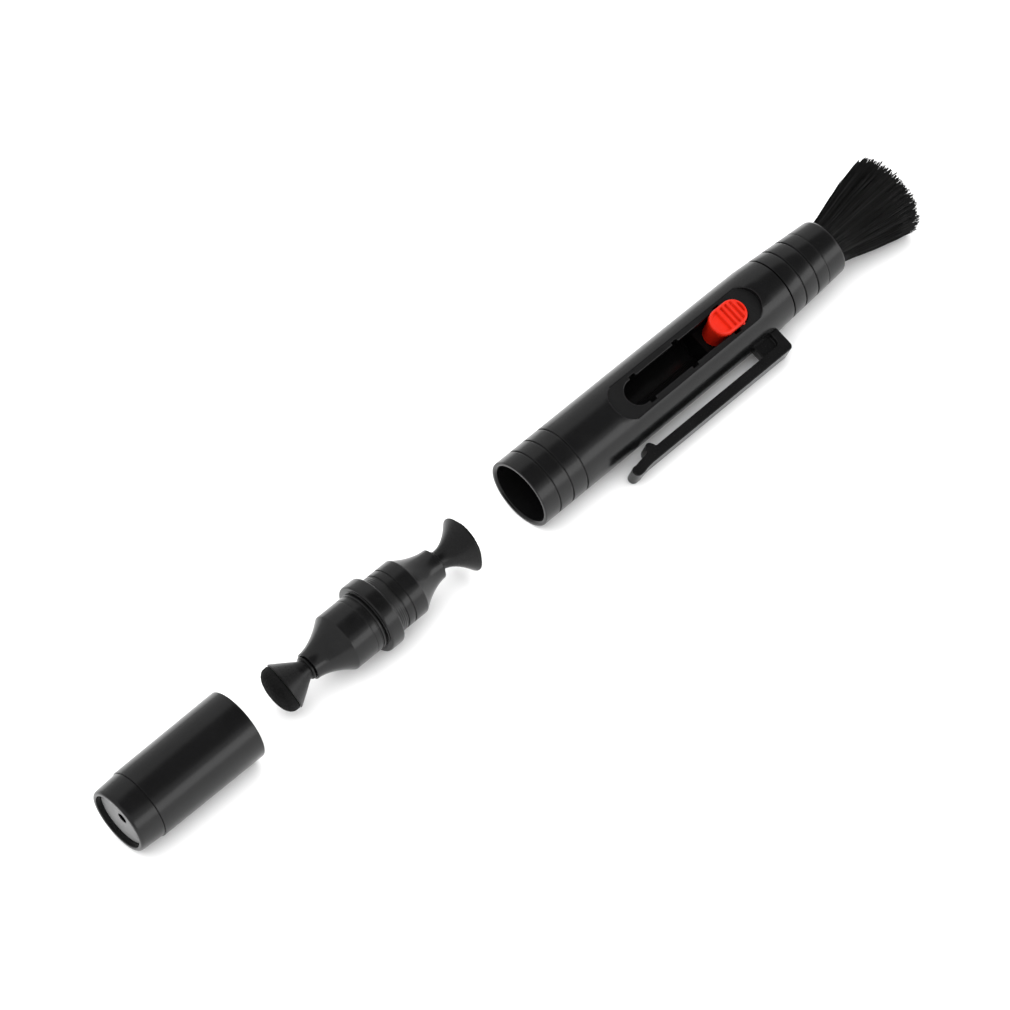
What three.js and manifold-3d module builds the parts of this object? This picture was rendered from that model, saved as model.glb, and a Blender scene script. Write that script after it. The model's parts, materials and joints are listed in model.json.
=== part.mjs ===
// Lens cleaning pen, pulled apart along its own axis: cap, double-ended cleaning tip, and barrel with
// its brush slid out. Millimetres, +Z up. The pen lies on z = 0, on its barrel and the lip of its clip,
// with the brush towards +X. Each assembly is drawn about the pen axis, with the window facing +Z and
// the clip facing -Y, and the whole pen is then rolled about that axis until the clip's lip rests.
import * as THREE from 'three';
import { mergeVertices } from 'three/addons/utils/BufferGeometryUtils.js';
import Module from 'manifold-3d';

const wasm = await Module();
wasm.setup();

// Driving dimensions
const SEGMENTS = 32;
const SMALL_SEGMENTS = 24;
const GAP = 0.3;

const PEN = { radius: 7.5, socketRadius: 6.45, boreRadius: 5.6 };
const PULLED = { tip: 37.1, cap: 32.3 };

const BARREL = { length: 69, taperFrom: 65, taperRadius: 7.35, socketDepth: 23, shoulder: 0.4 };
const RIM_GROOVES = { at: [3.9, 7.4, 11.2], width: 0.5, depth: 0.35 };
const COUNTERBORE = { from: 64, radius: 6.2 };
const FLOOR = { from: 24.4, thickness: 1, radius: 5.3 };

const WINDOW = { from: 23.6, to: 62.9, width: 8.3, level: 6.2 };
const SLOT = { from: 27.6, to: 59.8, width: 5.6 };
const NOTCH = { at: [31.7, 43.3, 54.9], length: 1.4, depth: 0.6 };

const NOSE = { end: 85, taperTo: 84, mouthRadius: 6.15, boreRadius: 5, spigotRadius: 5.9, lip: 1 };
const NOSE_GROOVES = { at: [72.7, 76.4], width: 0.45, depth: 0.3 };
const NOSE_LINE = { at: 79.7, width: 0.25, depth: 0.15 };

const CLIP = { width: 4.5, inner: 9.75, outer: 12, rootFrom: 57.5, rootTo: 63.6, corner: 0.8 };
const CLIP_POCKET = { to: 61.7, depth: 1.2 };
const CLIP_BUMP = { at: 26.1, reach: 8.3, halfLength: 1.2 };
const CLIP_LIP = { end: 19.7, reach: 12.4, thickness: 1.9, from: 24.6 };
const TENON = { from: 58.4, to: 62.7, width: 3.4, bottom: 6.5 };

const BUTTON = { at: 54.9, length: 8.6, width: 5.7, top: 7.7 };
const STEM = { length: 8.2, width: 5.3, from: 4.4 };
const FOOT = { length: 8.8, bottom: 1, top: 4.6 };
const PEG = { radius: 1, bottom: -1.6 };
const RIDGES = { count: 4, spacing: 1.75, radius: 0.45, length: 4.4 };

const CARRIER = { from: 49.7, to: 61.6, radius: 5.2, bossRadius: 3.9, bossTo: 71 };
const FERRULE = { from: 61.9, to: 82.5, radius: 4.5, innerRadius: 4.2, crimpAt: 79, crimp: 0.15 };
const BRISTLES = { rootRadius: 3.9, flareFrom: 82.8, spread: 8.4, edge: 102, tip: 103.3, floor: 7.4 };

const FLANGE = { halfWidth: 1.7, innerRadius: 5.2, rounding: 0.5 };
const HOLDER = { radius: 6.15, edge: 8.9, end: 16.3, endRadius: 2.9, curve: 1.75, spigotRadius: 4.9 };
const HOLDER_LINES = { front: [2.7, 4], rear: [4, 5.8], width: 0.3, depth: 0.25 };
const STUD = { radius: 1.5, halfLength: 5.7 };
const NECK = { pivot: 17.2, ballRadius: 2.15, cupRadius: 2.45 };
const FRONT_CONE = { rim: 4.7, radius: 5.1, curve: 1.1 };
const REAR_CONE = { rim: 6, radius: 5.8, curve: 1.8 };
const CONE_LIP = 0.2;
// Degrees that each soft tip lies bent at its neck, and the turn about the pen's axis that it bends towards.
const FRONT_FLEX = { bent: 15, towards: -8.8 };
const REAR_FLEX = { bent: 5, towards: -81.2 };
const FRONT_PAD = { radius: 4.9, height: 3 };
const REAR_PAD = { radius: 5, height: 1 };

const CAP = { length: 29.8, bandAt: 24.4, bandRadius: 7.3, endRadius: 6.85, ledge: 24.1, endBore: 5.9 };
const CAP_DISC = { from: 27.9, to: 28.6, radius: 5.6, holeRadius: 1.15 };
const SPONGE_CUP = { from: 24.4, to: 27.6, radius: 5.6, wall: 0.7, floor: 0.8 };
const SPONGE = { from: 24, to: 26.5, radius: 4.6 };

// Shape helpers. A profile is a list of [x along the axis, radius], walked with +X on the outside.
const welded = (geometry) => {
  geometry.deleteAttribute('normal');
  geometry.deleteAttribute('uv');
  const merged = mergeVertices(geometry);
  const kept = [];
  const corners = merged.index.array;
  for (let i = 0; i < corners.length; i += 3) {
    const [a, b, c] = corners.slice(i, i + 3);
    if (a !== b && b !== c && c !== a) kept.push(a, b, c);
  }
  merged.setIndex(kept);
  return merged;
};

const turned = (profile, segments = SEGMENTS) => {
  const points = profile.map(([x, r]) => new THREE.Vector2(r, x));
  return welded(new THREE.LatheGeometry(points, segments).rotateZ(-Math.PI / 2));
};

const ring = (profile, segments = SEGMENTS) => turned([...profile, profile[0]], segments);

const arc = (centre, radius, from, to, steps) => {
  const points = [];
  for (let i = 0; i <= steps; i += 1) {
    const angle = THREE.MathUtils.degToRad(from + ((to - from) * i) / steps);
    points.push([centre[0] + radius * Math.cos(angle), centre[1] + radius * Math.sin(angle)]);
  }
  return points;
};

const prism = (shape, bottom, top, curveSegments = 6) => {
  const settings = { depth: top - bottom, bevelEnabled: false, curveSegments };
  return welded(new THREE.ExtrudeGeometry(shape, settings).translate(0, 0, bottom));
};

const block = (size, centre) => welded(new THREE.BoxGeometry(...size).translate(...centre));

const upright = (radius, bottom, top, x) => welded(
  new THREE.CylinderGeometry(radius, radius, top - bottom, 16)
    .rotateX(Math.PI / 2)
    .translate(x, 0, (top + bottom) / 2),
);

const pillShape = (from, to, width) => {
  const r = width / 2;
  const shape = new THREE.Shape();
  shape.absarc(to - r, 0, r, -Math.PI / 2, Math.PI / 2, false);
  shape.absarc(from + r, 0, r, Math.PI / 2, (3 * Math.PI) / 2, false);
  shape.closePath();
  return shape;
};

const asManifold = (geometry) => new wasm.Manifold(new wasm.Mesh({
  numProp: 3,
  vertProperties: Float32Array.from(geometry.attributes.position.array),
  triVerts: Uint32Array.from(geometry.index.array),
}));

const asGeometry = (manifold) => {
  const mesh = manifold.getMesh();
  const geometry = new THREE.BufferGeometry();
  geometry.setAttribute('position', new THREE.BufferAttribute(mesh.vertProperties, 3));
  geometry.setIndex([...mesh.triVerts]);
  return geometry;
};

const cut = (geometry, ...tools) => asGeometry(
  tools.reduce((body, tool) => body.subtract(asManifold(tool)), asManifold(geometry)),
);

const joined = (geometry, ...others) => asGeometry(
  others.reduce((body, other) => body.add(asManifold(other)), asManifold(geometry)),
);

// A square groove in a profile whose outer radius is given by a function of x.
const groove = (at, width, depth, radiusAt) => {
  const from = at - width / 2;
  const to = at + width / 2;
  return [
    [from, radiusAt(from)],
    [from, radiusAt(from) - depth],
    [to, radiusAt(to) - depth],
    [to, radiusAt(to)],
  ];
};

// Barrel
const barrelRadius = (x) => {
  const shrink = (PEN.radius - BARREL.taperRadius) * (x / BARREL.taperFrom) ** 2;
  const share = (x - BARREL.taperFrom) / (NOSE.taperTo - BARREL.taperFrom);
  const taper = (BARREL.taperRadius - NOSE.mouthRadius) * share;
  return share > 0 ? BARREL.taperRadius - taper : PEN.radius - shrink;
};

const barrelShell = () => {
  const { at, width, depth } = RIM_GROOVES;
  const tube = ring([
    [0, PEN.radius - 0.2],
    [0.2, PEN.radius],
    ...at.flatMap((x) => groove(x, width, depth, barrelRadius)),
    [32, barrelRadius(32)],
    [BARREL.taperFrom, BARREL.taperRadius],
    [BARREL.length, barrelRadius(BARREL.length)],
    [BARREL.length, COUNTERBORE.radius],
    [COUNTERBORE.from, COUNTERBORE.radius],
    [COUNTERBORE.from, PEN.boreRadius],
    [BARREL.socketDepth + BARREL.shoulder, PEN.boreRadius],
    [BARREL.socketDepth, PEN.socketRadius],
    [0.3, PEN.socketRadius],
    [0, PEN.socketRadius + 0.3],
  ]);
  const above = PEN.radius + 1;
  const flat = prism(pillShape(WINDOW.from, WINDOW.to, WINDOW.width), WINDOW.level, above, 8);
  const slot = prism(pillShape(SLOT.from, SLOT.to, SLOT.width), 1, above, 8);
  const notchWidth = SLOT.width + 2 * NOTCH.depth;
  const notches = NOTCH.at.map((x) => block([NOTCH.length, notchWidth, above - 3], [x, 0, (above + 3) / 2]));
  const tenonHole = block(
    [TENON.to - TENON.from + 2 * GAP, 3, TENON.width + 2 * GAP],
    [(TENON.from + TENON.to) / 2, -(TENON.bottom - GAP) - 1.5, 0],
  );
  return cut(tube, flat, slot, ...notches, tenonHole);
};

const noseCollar = () => {
  const { at, width, depth } = NOSE_GROOVES;
  const from = BARREL.length + GAP;
  const lipCentre = [NOSE.end - NOSE.lip, barrelRadius(NOSE.end - NOSE.lip) - NOSE.lip];
  return ring([
    [COUNTERBORE.from + 0.4, NOSE.spigotRadius],
    [from, NOSE.spigotRadius],
    [from, barrelRadius(from)],
    ...at.flatMap((x) => groove(x, width, depth, barrelRadius)),
    ...groove(NOSE_LINE.at, NOSE_LINE.width, NOSE_LINE.depth, barrelRadius),
    ...arc(lipCentre, NOSE.lip, 90, 0, 4),
    [NOSE.end, NOSE.boreRadius + 0.1],
    [NOSE.end - 0.4, NOSE.boreRadius],
    [COUNTERBORE.from + 0.4, NOSE.boreRadius],
  ]);
};

const socketFloor = () => turned([
  [FLOOR.from, 0],
  [FLOOR.from, FLOOR.radius],
  [FLOOR.from + FLOOR.thickness, FLOOR.radius],
  [FLOOR.from + FLOOR.thickness, 0],
], SMALL_SEGMENTS);

// Clip: outlines lie in the plane of x and -r, so that the arm stands off the barrel towards -Y.
const clipPrism = (shape, width = CLIP.width) => prism(shape, -width / 2, width / 2);

const clipRoot = () => {
  const { rootFrom, rootTo, inner, outer, corner } = CLIP;
  const shape = new THREE.Shape();
  shape.moveTo(rootFrom, -outer);
  shape.lineTo(rootTo - corner, -outer);
  shape.absarc(rootTo - corner, -(outer - corner), corner, -Math.PI / 2, 0, false);
  shape.lineTo(rootTo, -PEN.boreRadius);
  shape.lineTo(rootFrom, -PEN.boreRadius);
  shape.closePath();
  const saddle = turned([
    [rootFrom - 1, 0],
    [rootFrom - 1, PEN.radius + 0.2],
    [rootTo + 1, PEN.radius + 0.2],
    [rootTo + 1, 0],
  ]);
  const pocketHeight = inner - PEN.boreRadius;
  const pocketX = (CLIP_POCKET.to + rootFrom - 1) / 2;
  const pocketSide = (CLIP.width - CLIP_POCKET.depth) / 2;
  const pockets = [-1, 1].map((side) => block(
    [CLIP_POCKET.to - rootFrom + 1, pocketHeight, CLIP_POCKET.depth],
    [pocketX, -(inner - pocketHeight / 2), side * pocketSide],
  ));
  const tenonTop = inner - 1;
  const tenon = block(
    [TENON.to - TENON.from, tenonTop - TENON.bottom, CLIP.width - 2 * CLIP_POCKET.depth],
    [(TENON.from + TENON.to) / 2, -(tenonTop + TENON.bottom) / 2, 0],
  );
  return joined(cut(clipPrism(shape), saddle, ...pockets), tenon);
};

const pocketClip = () => {
  const { inner, outer, rootFrom } = CLIP;
  const lipRadius = CLIP_LIP.thickness / 2;
  const lipX = CLIP_LIP.end + lipRadius;
  const lipY = -(CLIP_LIP.reach - lipRadius);
  const bump = { from: CLIP_BUMP.at + CLIP_BUMP.halfLength, to: CLIP_BUMP.at - CLIP_BUMP.halfLength };
  const shape = new THREE.Shape();
  shape.moveTo(rootFrom - GAP, -outer);
  shape.lineTo(rootFrom - GAP, -inner);
  shape.lineTo(bump.from, -inner);
  shape.quadraticCurveTo(CLIP_BUMP.at + 0.7, -CLIP_BUMP.reach, CLIP_BUMP.at, -CLIP_BUMP.reach);
  shape.quadraticCurveTo(CLIP_BUMP.at - 0.7, -CLIP_BUMP.reach, bump.to, -inner);
  shape.lineTo(lipX + 0.6, lipY + lipRadius);
  shape.absarc(lipX, lipY, lipRadius, Math.PI / 2, (3 * Math.PI) / 2, false);
  shape.quadraticCurveTo(CLIP_LIP.from - 1.5, -outer, CLIP_LIP.from + 0.5, -outer);
  shape.closePath();
  return clipPrism(shape);
};

// Brush unit
const slideButton = () => {
  const { at, length, width, top } = BUTTON;
  const capBottom = WINDOW.level + 0.15;
  const crown = prism(pillShape(at - length / 2, at + length / 2, width), capBottom, top);
  const stemShape = pillShape(at - STEM.length / 2, at + STEM.length / 2, STEM.width);
  const stem = prism(stemShape, STEM.from, capBottom + 0.5);
  const footHeight = FOOT.top - FOOT.bottom;
  const foot = block([FOOT.length, STEM.width, footHeight], [at, 0, FOOT.bottom + footHeight / 2]);
  const peg = upright(PEG.radius, PEG.bottom, FOOT.bottom + 0.5, at);
  const ridges = Array.from({ length: RIDGES.count }, (_, i) => {
    const x = at + (i - (RIDGES.count - 1) / 2) * RIDGES.spacing;
    const bar = new THREE.CylinderGeometry(RIDGES.radius, RIDGES.radius, RIDGES.length, 12);
    return welded(bar.translate(x, 0, top - 0.05));
  });
  return joined(crown, stem, foot, peg, ...ridges);
};

const brushCarrier = () => {
  const slider = turned([
    [CARRIER.from, 0],
    [CARRIER.from, CARRIER.radius - 0.3],
    [CARRIER.from + 0.3, CARRIER.radius],
    [CARRIER.to, CARRIER.radius],
    [CARRIER.to, CARRIER.bossRadius],
    [CARRIER.bossTo, CARRIER.bossRadius],
    [CARRIER.bossTo, 0],
  ], SMALL_SEGMENTS);
  const channelEnd = BUTTON.at + FOOT.length / 2 + GAP;
  const channelFrom = CARRIER.from - 1;
  const channelFloor = FOOT.bottom - GAP;
  const channel = block(
    [channelEnd - channelFrom, STEM.width + 2 * GAP, PEN.radius],
    [(channelEnd + channelFrom) / 2, 0, channelFloor + PEN.radius / 2],
  );
  const pegHole = upright(PEG.radius + GAP, PEG.bottom - GAP, FOOT.bottom, BUTTON.at);
  return cut(slider, channel, pegHole);
};

const brushFerrule = () => {
  const crimped = FERRULE.radius - FERRULE.crimp;
  return ring([
    [FERRULE.from, FERRULE.radius],
    [FERRULE.crimpAt - 0.8, FERRULE.radius],
    [FERRULE.crimpAt - 0.4, crimped],
    [FERRULE.crimpAt + 0.4, crimped],
    [FERRULE.crimpAt + 0.8, FERRULE.radius],
    [FERRULE.to, FERRULE.radius],
    [FERRULE.to, FERRULE.innerRadius],
    [FERRULE.from, FERRULE.innerRadius],
  ], SMALL_SEGMENTS);
};

// Raises whatever hangs below a floor plane once the pen is rolled, as bristles bend on a table.
const restedOn = (geometry, roll, floor) => {
  const up = new THREE.Vector3(0, Math.sin(roll), Math.cos(roll));
  const position = geometry.attributes.position;
  const point = new THREE.Vector3();
  for (let i = 0; i < position.count; i += 1) {
    point.fromBufferAttribute(position, i);
    const sunk = Math.max(0, -floor - point.dot(up));
    point.addScaledVector(up, sunk);
    position.setXYZ(i, point.x, point.y, point.z);
  }
  return geometry;
};

const brushBristles = (roll) => {
  const { rootRadius, flareFrom, spread, edge, tip, floor } = BRISTLES;
  const bundle = turned([
    [CARRIER.bossTo + GAP, 0],
    [CARRIER.bossTo + GAP, rootRadius],
    [flareFrom, rootRadius],
    [NOSE.end, 4.35],
    [(NOSE.end + edge) / 2, (4.35 + spread) / 2],
    [edge, spread],
    [tip - 0.5, spread * 0.7],
    [tip, 0],
  ]);
  return restedOn(bundle, roll, floor);
};

// Cleaning tip: each half is drawn outwards from the middle of the flange towards +X.
const holderHalf = (lines) => {
  const { radius, edge, end, endRadius, curve, spigotRadius } = HOLDER;
  const neckRadius = (x) => endRadius + (radius - endRadius) * ((end - x) / (end - edge)) ** curve;
  const waist = [0, 0.2, 0.4, 0.6, 0.8, 1].map((share) => {
    const x = edge + (end - edge) * share;
    return [x, neckRadius(x)];
  });
  const mouthAngle = THREE.MathUtils.radToDeg(Math.acos((NECK.pivot - end) / NECK.cupRadius));
  const boreRadius = STUD.radius + GAP;
  return turned([
    [STUD.halfLength + GAP, 0],
    [STUD.halfLength + GAP, boreRadius],
    [GAP / 2, boreRadius],
    [GAP / 2, spigotRadius],
    [FLANGE.halfWidth + GAP, spigotRadius],
    [FLANGE.halfWidth + GAP, radius],
    ...lines.flatMap((x) => groove(x, HOLDER_LINES.width, HOLDER_LINES.depth, () => radius)),
    ...waist,
    ...arc([NECK.pivot, 0], NECK.cupRadius, 180 - mouthAngle, 180, 5),
  ], SEGMENTS);
};

const flangeRing = () => {
  const { halfWidth, innerRadius, rounding } = FLANGE;
  const shoulder = PEN.radius - rounding;
  return ring([
    [-halfWidth, innerRadius],
    ...arc([-halfWidth + rounding, shoulder], rounding, 180, 90, 3),
    ...arc([halfWidth - rounding, shoulder], rounding, 90, 0, 3),
    [halfWidth, innerRadius],
  ]);
};

const joiningStud = () => turned([
  [-STUD.halfLength, 0],
  [-STUD.halfLength, STUD.radius],
  [STUD.halfLength, STUD.radius],
  [STUD.halfLength, 0],
], 16);

// A rubber cone about its neck pivot: a ball in the holder's cup, then a flare to the pad's rim.
const flexCone = ({ rim, radius, curve }) => {
  const flare = [0.1, 0.25, 0.45, 0.65, 0.85, 1].map((share) => (
    [rim * share, NECK.ballRadius + (radius - NECK.ballRadius) * share ** curve]
  ));
  return turned([
    ...arc([0, 0], NECK.ballRadius, 180, 90, 4),
    ...flare,
    [rim + CONE_LIP, radius],
    [rim + CONE_LIP, 0],
  ], SMALL_SEGMENTS);
};

const domedPad = (cone, { radius, height }) => {
  const from = cone.rim + CONE_LIP + GAP;
  const skirt = height / 4;
  const dome = [0, 0.35, 0.65, 0.88, 1].map((share) => {
    const angle = (share * Math.PI) / 2;
    return [from + skirt + (height - skirt) * Math.sin(angle), radius * Math.cos(angle)];
  });
  dome[dome.length - 1][1] = 0;
  return turned([[from, 0], [from, radius], ...dome], SMALL_SEGMENTS);
};

// Cap: drawn from its open rim at x = 0 towards +X, and turned end for end when it is placed.
const capShell = () => {
  const { length, bandAt, bandRadius, endRadius, ledge, endBore } = CAP;
  const lip = 0.4;
  return ring([
    [0, PEN.radius - 0.2],
    [0.2, PEN.radius],
    [bandAt / 2, (PEN.radius + bandRadius) / 2 + 0.02],
    [bandAt, bandRadius],
    ...arc([length - lip, endRadius - lip], lip, 60, 0, 3),
    [length, endBore + 0.2],
    [length - 0.2, endBore],
    [ledge, endBore],
    [ledge, PEN.socketRadius],
    [0.3, PEN.socketRadius],
    [0, PEN.socketRadius + 0.3],
  ]);
};

const capEndDisc = () => ring([
  [CAP_DISC.from, CAP_DISC.radius],
  [CAP_DISC.to, CAP_DISC.radius],
  [CAP_DISC.to, CAP_DISC.holeRadius],
  [CAP_DISC.from, CAP_DISC.holeRadius],
], SMALL_SEGMENTS);

const spongeHolder = () => {
  const { from, to, radius, wall, floor } = SPONGE_CUP;
  return turned([
    [to - floor, 0],
    [to - floor, radius - wall],
    [from, radius - wall],
    [from, radius],
    [to, radius],
    [to, 0],
  ], SMALL_SEGMENTS);
};

const carbonSponge = () => turned([
  [SPONGE.from, 0],
  [SPONGE.from, SPONGE.radius],
  [SPONGE.to, SPONGE.radius],
  [SPONGE.to, 0],
], SMALL_SEGMENTS);

// Finishes
const finish = (color, roughness, metalness = 0) => (
  new THREE.MeshStandardMaterial({ color, roughness, metalness })
);
const GLOSS_BLACK = finish(0x1b1b1c, 0.28);
const SATIN_BLACK = finish(0x262627, 0.5);
const RED = finish(0xd81408, 0.35);
const GREY = finish(0x959595, 0.6);
const RUBBER = finish(0x303031, 0.75);
const SUEDE = finish(0x161616, 0.95);
const FIBRE = finish(0x0e0e0e, 0.6);
const METAL = finish(0xb9bbbe, 0.35, 1);
const CARBON = finish(0x101010, 1);

// Assemblies
const piece = (name, geometry, material) => {
  const mesh = new THREE.Mesh(geometry, material);
  mesh.name = name;
  return mesh;
};

const bendAtNeck = (group, { bent, towards }) => {
  const { degToRad } = THREE.MathUtils;
  group.position.x = NECK.pivot;
  group.rotation.set(degToRad(towards), degToRad(bent), 0);
};

// The pen is rolled until the outer corner of the clip's lip is as low as the barrel.
const lipCorner = Math.hypot(CLIP_LIP.reach, CLIP.width / 2);
const lipSpread = Math.atan2(CLIP.width / 2, CLIP_LIP.reach);
const clipFromDown = Math.acos(PEN.radius / lipCorner) + lipSpread;
const roll = Math.PI / 2 - clipFromDown;

const barrel = new THREE.Group();
barrel.add(
  piece('barrel_shell', barrelShell(), GLOSS_BLACK),
  piece('nose_collar', noseCollar(), GLOSS_BLACK),
  piece('socket_floor', socketFloor(), SATIN_BLACK),
  piece('clip_root', clipRoot(), GLOSS_BLACK),
  piece('pocket_clip', pocketClip(), GLOSS_BLACK),
  piece('slide_button', slideButton(), RED),
  piece('brush_carrier', brushCarrier(), SATIN_BLACK),
  piece('brush_ferrule', brushFerrule(), METAL),
  piece('brush_bristles', brushBristles(roll), FIBRE),
);

const frontHalf = new THREE.Group();
frontHalf.rotation.z = Math.PI;
frontHalf.add(piece('tip_holder_front', holderHalf(HOLDER_LINES.front), SATIN_BLACK));
const frontTip = new THREE.Group();
bendAtNeck(frontTip, FRONT_FLEX);
frontTip.add(
  piece('front_tip_cone', flexCone(FRONT_CONE), RUBBER),
  piece('front_pad', domedPad(FRONT_CONE, FRONT_PAD), SUEDE),
);
frontHalf.add(frontTip);

const rearTip = new THREE.Group();
bendAtNeck(rearTip, REAR_FLEX);
rearTip.add(
  piece('rear_tip_cone', flexCone(REAR_CONE), RUBBER),
  piece('rear_pad', domedPad(REAR_CONE, REAR_PAD), SUEDE),
);

const tip = new THREE.Group();
tip.position.x = -PULLED.tip - FLANGE.halfWidth;
tip.add(
  frontHalf,
  piece('tip_holder_rear', holderHalf(HOLDER_LINES.rear), SATIN_BLACK),
  piece('flange_ring', flangeRing(), SATIN_BLACK),
  piece('joining_stud', joiningStud(), SATIN_BLACK),
  rearTip,
);

const cap = new THREE.Group();
cap.position.x = -PULLED.tip - 2 * FLANGE.halfWidth - PULLED.cap;
cap.rotation.z = Math.PI;
cap.add(
  piece('cap_shell', capShell(), GLOSS_BLACK),
  piece('cap_end_disc', capEndDisc(), GREY),
  piece('sponge_holder', spongeHolder(), SATIN_BLACK),
  piece('carbon_sponge', carbonSponge(), CARBON),
);

// The origin is at the middle of the pen's box, on the surface that it lies on.
const pen = new THREE.Group();
pen.add(barrel, tip, cap);
pen.rotation.x = roll;
pen.updateMatrixWorld(true);
const box = new THREE.Box3().setFromObject(pen, true);
const centre = box.getCenter(new THREE.Vector3());
pen.position.set(-centre.x, -centre.y, -box.min.z);

const lensPen = new THREE.Group();
lensPen.add(pen);
lensPen.updateMatrixWorld(true);

export default lensPen;
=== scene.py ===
"""Looks for a lens cleaning pen that is pulled apart along its axis: cap, cleaning tip and barrel.

Pieces are drawn in millimetres in the pen's own frame: x runs along the axis from the barrel's open rim,
the window faces +Z and the clip faces -Y. One matrix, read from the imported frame, then puts them in place.
"""
import json
import math
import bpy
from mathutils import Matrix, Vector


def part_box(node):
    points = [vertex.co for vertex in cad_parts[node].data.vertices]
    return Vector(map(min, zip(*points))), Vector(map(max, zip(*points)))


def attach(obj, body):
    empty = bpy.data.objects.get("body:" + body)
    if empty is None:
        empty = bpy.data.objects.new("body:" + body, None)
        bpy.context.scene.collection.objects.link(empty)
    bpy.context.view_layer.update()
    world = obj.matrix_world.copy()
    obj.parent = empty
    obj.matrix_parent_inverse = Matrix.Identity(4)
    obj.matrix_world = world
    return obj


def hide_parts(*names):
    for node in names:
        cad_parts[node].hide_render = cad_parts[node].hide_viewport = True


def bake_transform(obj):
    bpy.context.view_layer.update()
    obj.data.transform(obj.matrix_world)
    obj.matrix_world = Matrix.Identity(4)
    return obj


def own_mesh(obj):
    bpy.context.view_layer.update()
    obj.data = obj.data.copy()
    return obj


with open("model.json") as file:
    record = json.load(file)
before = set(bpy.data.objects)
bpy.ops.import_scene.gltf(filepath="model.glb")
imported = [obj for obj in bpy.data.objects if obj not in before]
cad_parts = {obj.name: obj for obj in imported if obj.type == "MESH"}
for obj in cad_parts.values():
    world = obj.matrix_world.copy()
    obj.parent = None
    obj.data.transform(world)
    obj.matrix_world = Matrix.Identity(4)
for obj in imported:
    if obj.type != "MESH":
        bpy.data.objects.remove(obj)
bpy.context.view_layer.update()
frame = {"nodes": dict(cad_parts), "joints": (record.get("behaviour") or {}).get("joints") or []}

from types import SimpleNamespace as Sizes

import bmesh
import bpy
import numpy as np
from mathutils import Matrix, Vector

MM = 0.001
SEED = 7
SEGMENTS = 192
BODY_SEGMENTS = 256


# ---------------------------------------------------------------- the frame's places
def middle(node):
    low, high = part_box(node)
    return (low + high) / 2


def joint(name):
    return next(row for row in frame["joints"] if row["name"] == name)


axis_point = middle("flange_ring")
clip_hinge = Vector(joint("clip_flex")["axis"])
ROLL = math.atan2(-clip_hinge.y, clip_hinge.z)
RIM = Vector((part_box("barrel_shell")[0].x, axis_point.y, axis_point.z))
PEN_TO_FRAME = Matrix.Translation(RIM) @ Matrix.Rotation(ROLL, 4, "X") @ Matrix.Scale(MM, 4)


def along(frame_x):
    """Millimetres from the barrel's rim, of a place on the frame's X axis."""
    return (frame_x - RIM.x) / MM


def in_frame(x, y=0.0, z=0.0):
    return PEN_TO_FRAME @ Vector((x, y, z))


# ---------------------------------------------------------------- sizes, in millimetres
# In a turned profile a corner is (x, radius), and a third number is its rounding.
BARREL = Sizes(
    radius=7.5, taper_from=65, taper_radius=7.35, mouth_radius=6.15, taper_to=84,
    end=along(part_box("barrel_shell")[1].x), socket=6.45, socket_depth=23, socket_step=0.4,
    bore=5.6, spigot_bore=6.2, spigot_from=64,
)
NOSE = Sizes(end=along(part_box("nose_collar")[1].x), bore=5, spigot=5.9, spigot_from=64.4, lip=1)
MOUTH = Sizes(rounding=0.3, chamfer=0.35, inner_rounding=0.15, outer_rounding=0.12)
TAPER_RINGS = Sizes(start=14, spacing=3)
GROOVES = Sizes(rim=(3.9, 7.4, 11.2), nose=(72.7, 76.4), width=0.34, depth=0.26)
GROOVE_ROUNDING = Sizes(top=0.15, floor=0.07)
HAIRLINE = Sizes(at=79.7, width=0.2, depth=0.12)
SEAM = 0.3
WINDOW = Sizes(start=23.6, end=62.9, width=8.6, level=6.2)
SLOT = Sizes(start=27.6, end=59.8, width=5.6, bottom=1)
NOTCHES = Sizes(at=(31.7, 43.3, 54.9), length=1.5, depth=0.6)
WINDOW_EDGE = 0.24
BORE_RAIL = Sizes(start=26.5, end=61, width=0.45, height=0.28, sunk=0.1, edge=0.12)
# How far a cutting tool reaches past the piece that it cuts.
CLEAR = 1

CLIP = Sizes(
    width=4.5, inner=9.75, outer=12, root_start=57.5, root_end=63.6, root_corner=1.0,
    foot=7.0, edge=0.28, flex_start=58.4, flex_end=56.2,
)
CLIP_RECESS = Sizes(end=61.7, depth=1.15, corner=1.0)
CLIP_BUMP = Sizes(at=26.1, reach=8.3, half_length=1.2, fullness=0.7)
CLIP_LIP = Sizes(end=19.7, reach=12.4, thickness=2.2, bend_start=25.1, bend_middle=23.1, bend_end=21.7)

BUTTON = Sizes(
    at=along(middle("slide_button").x), length=8.6, width=5.7, base=6.3, top=7.75, edge=0.5, chamfer=0.1,
)
STEM = Sizes(width=5.3, bottom=1.0, fillet=0.04, fillet_start=0.15, fillet_end=0.05)
VALLEYS = Sizes(count=4, spacing=1.2, depth=0.62, width=0.25, centre=1.75)
SCOOP = Sizes(start=-3.7, deepest=-1.45, end=-1.15, depth=0.55)
CROWN_RIM = Sizes(start=0.92, height=0.05)
LUG = Sizes(ahead=2.1, radius=0.42, level=6.0)

CAP = Sizes(
    rim=along(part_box("cap_shell")[1].x), length=29.8, band=24.4, band_radius=7.32, band_step=0.2,
    end_radius=6.85, end_rounding=0.8, recess_radius=5.9, ledge=24.1, bore=6.45,
)
DISC = Sizes(near=27.9, far=28.6, radius=5.85, hole=1.1, hole_edge=0.12, hole_widening=1.2)
SPONGE = Sizes(near=24, far=26.5, radius=4.6, edge=0.05, sag=0.3, nap=0.04)

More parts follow.
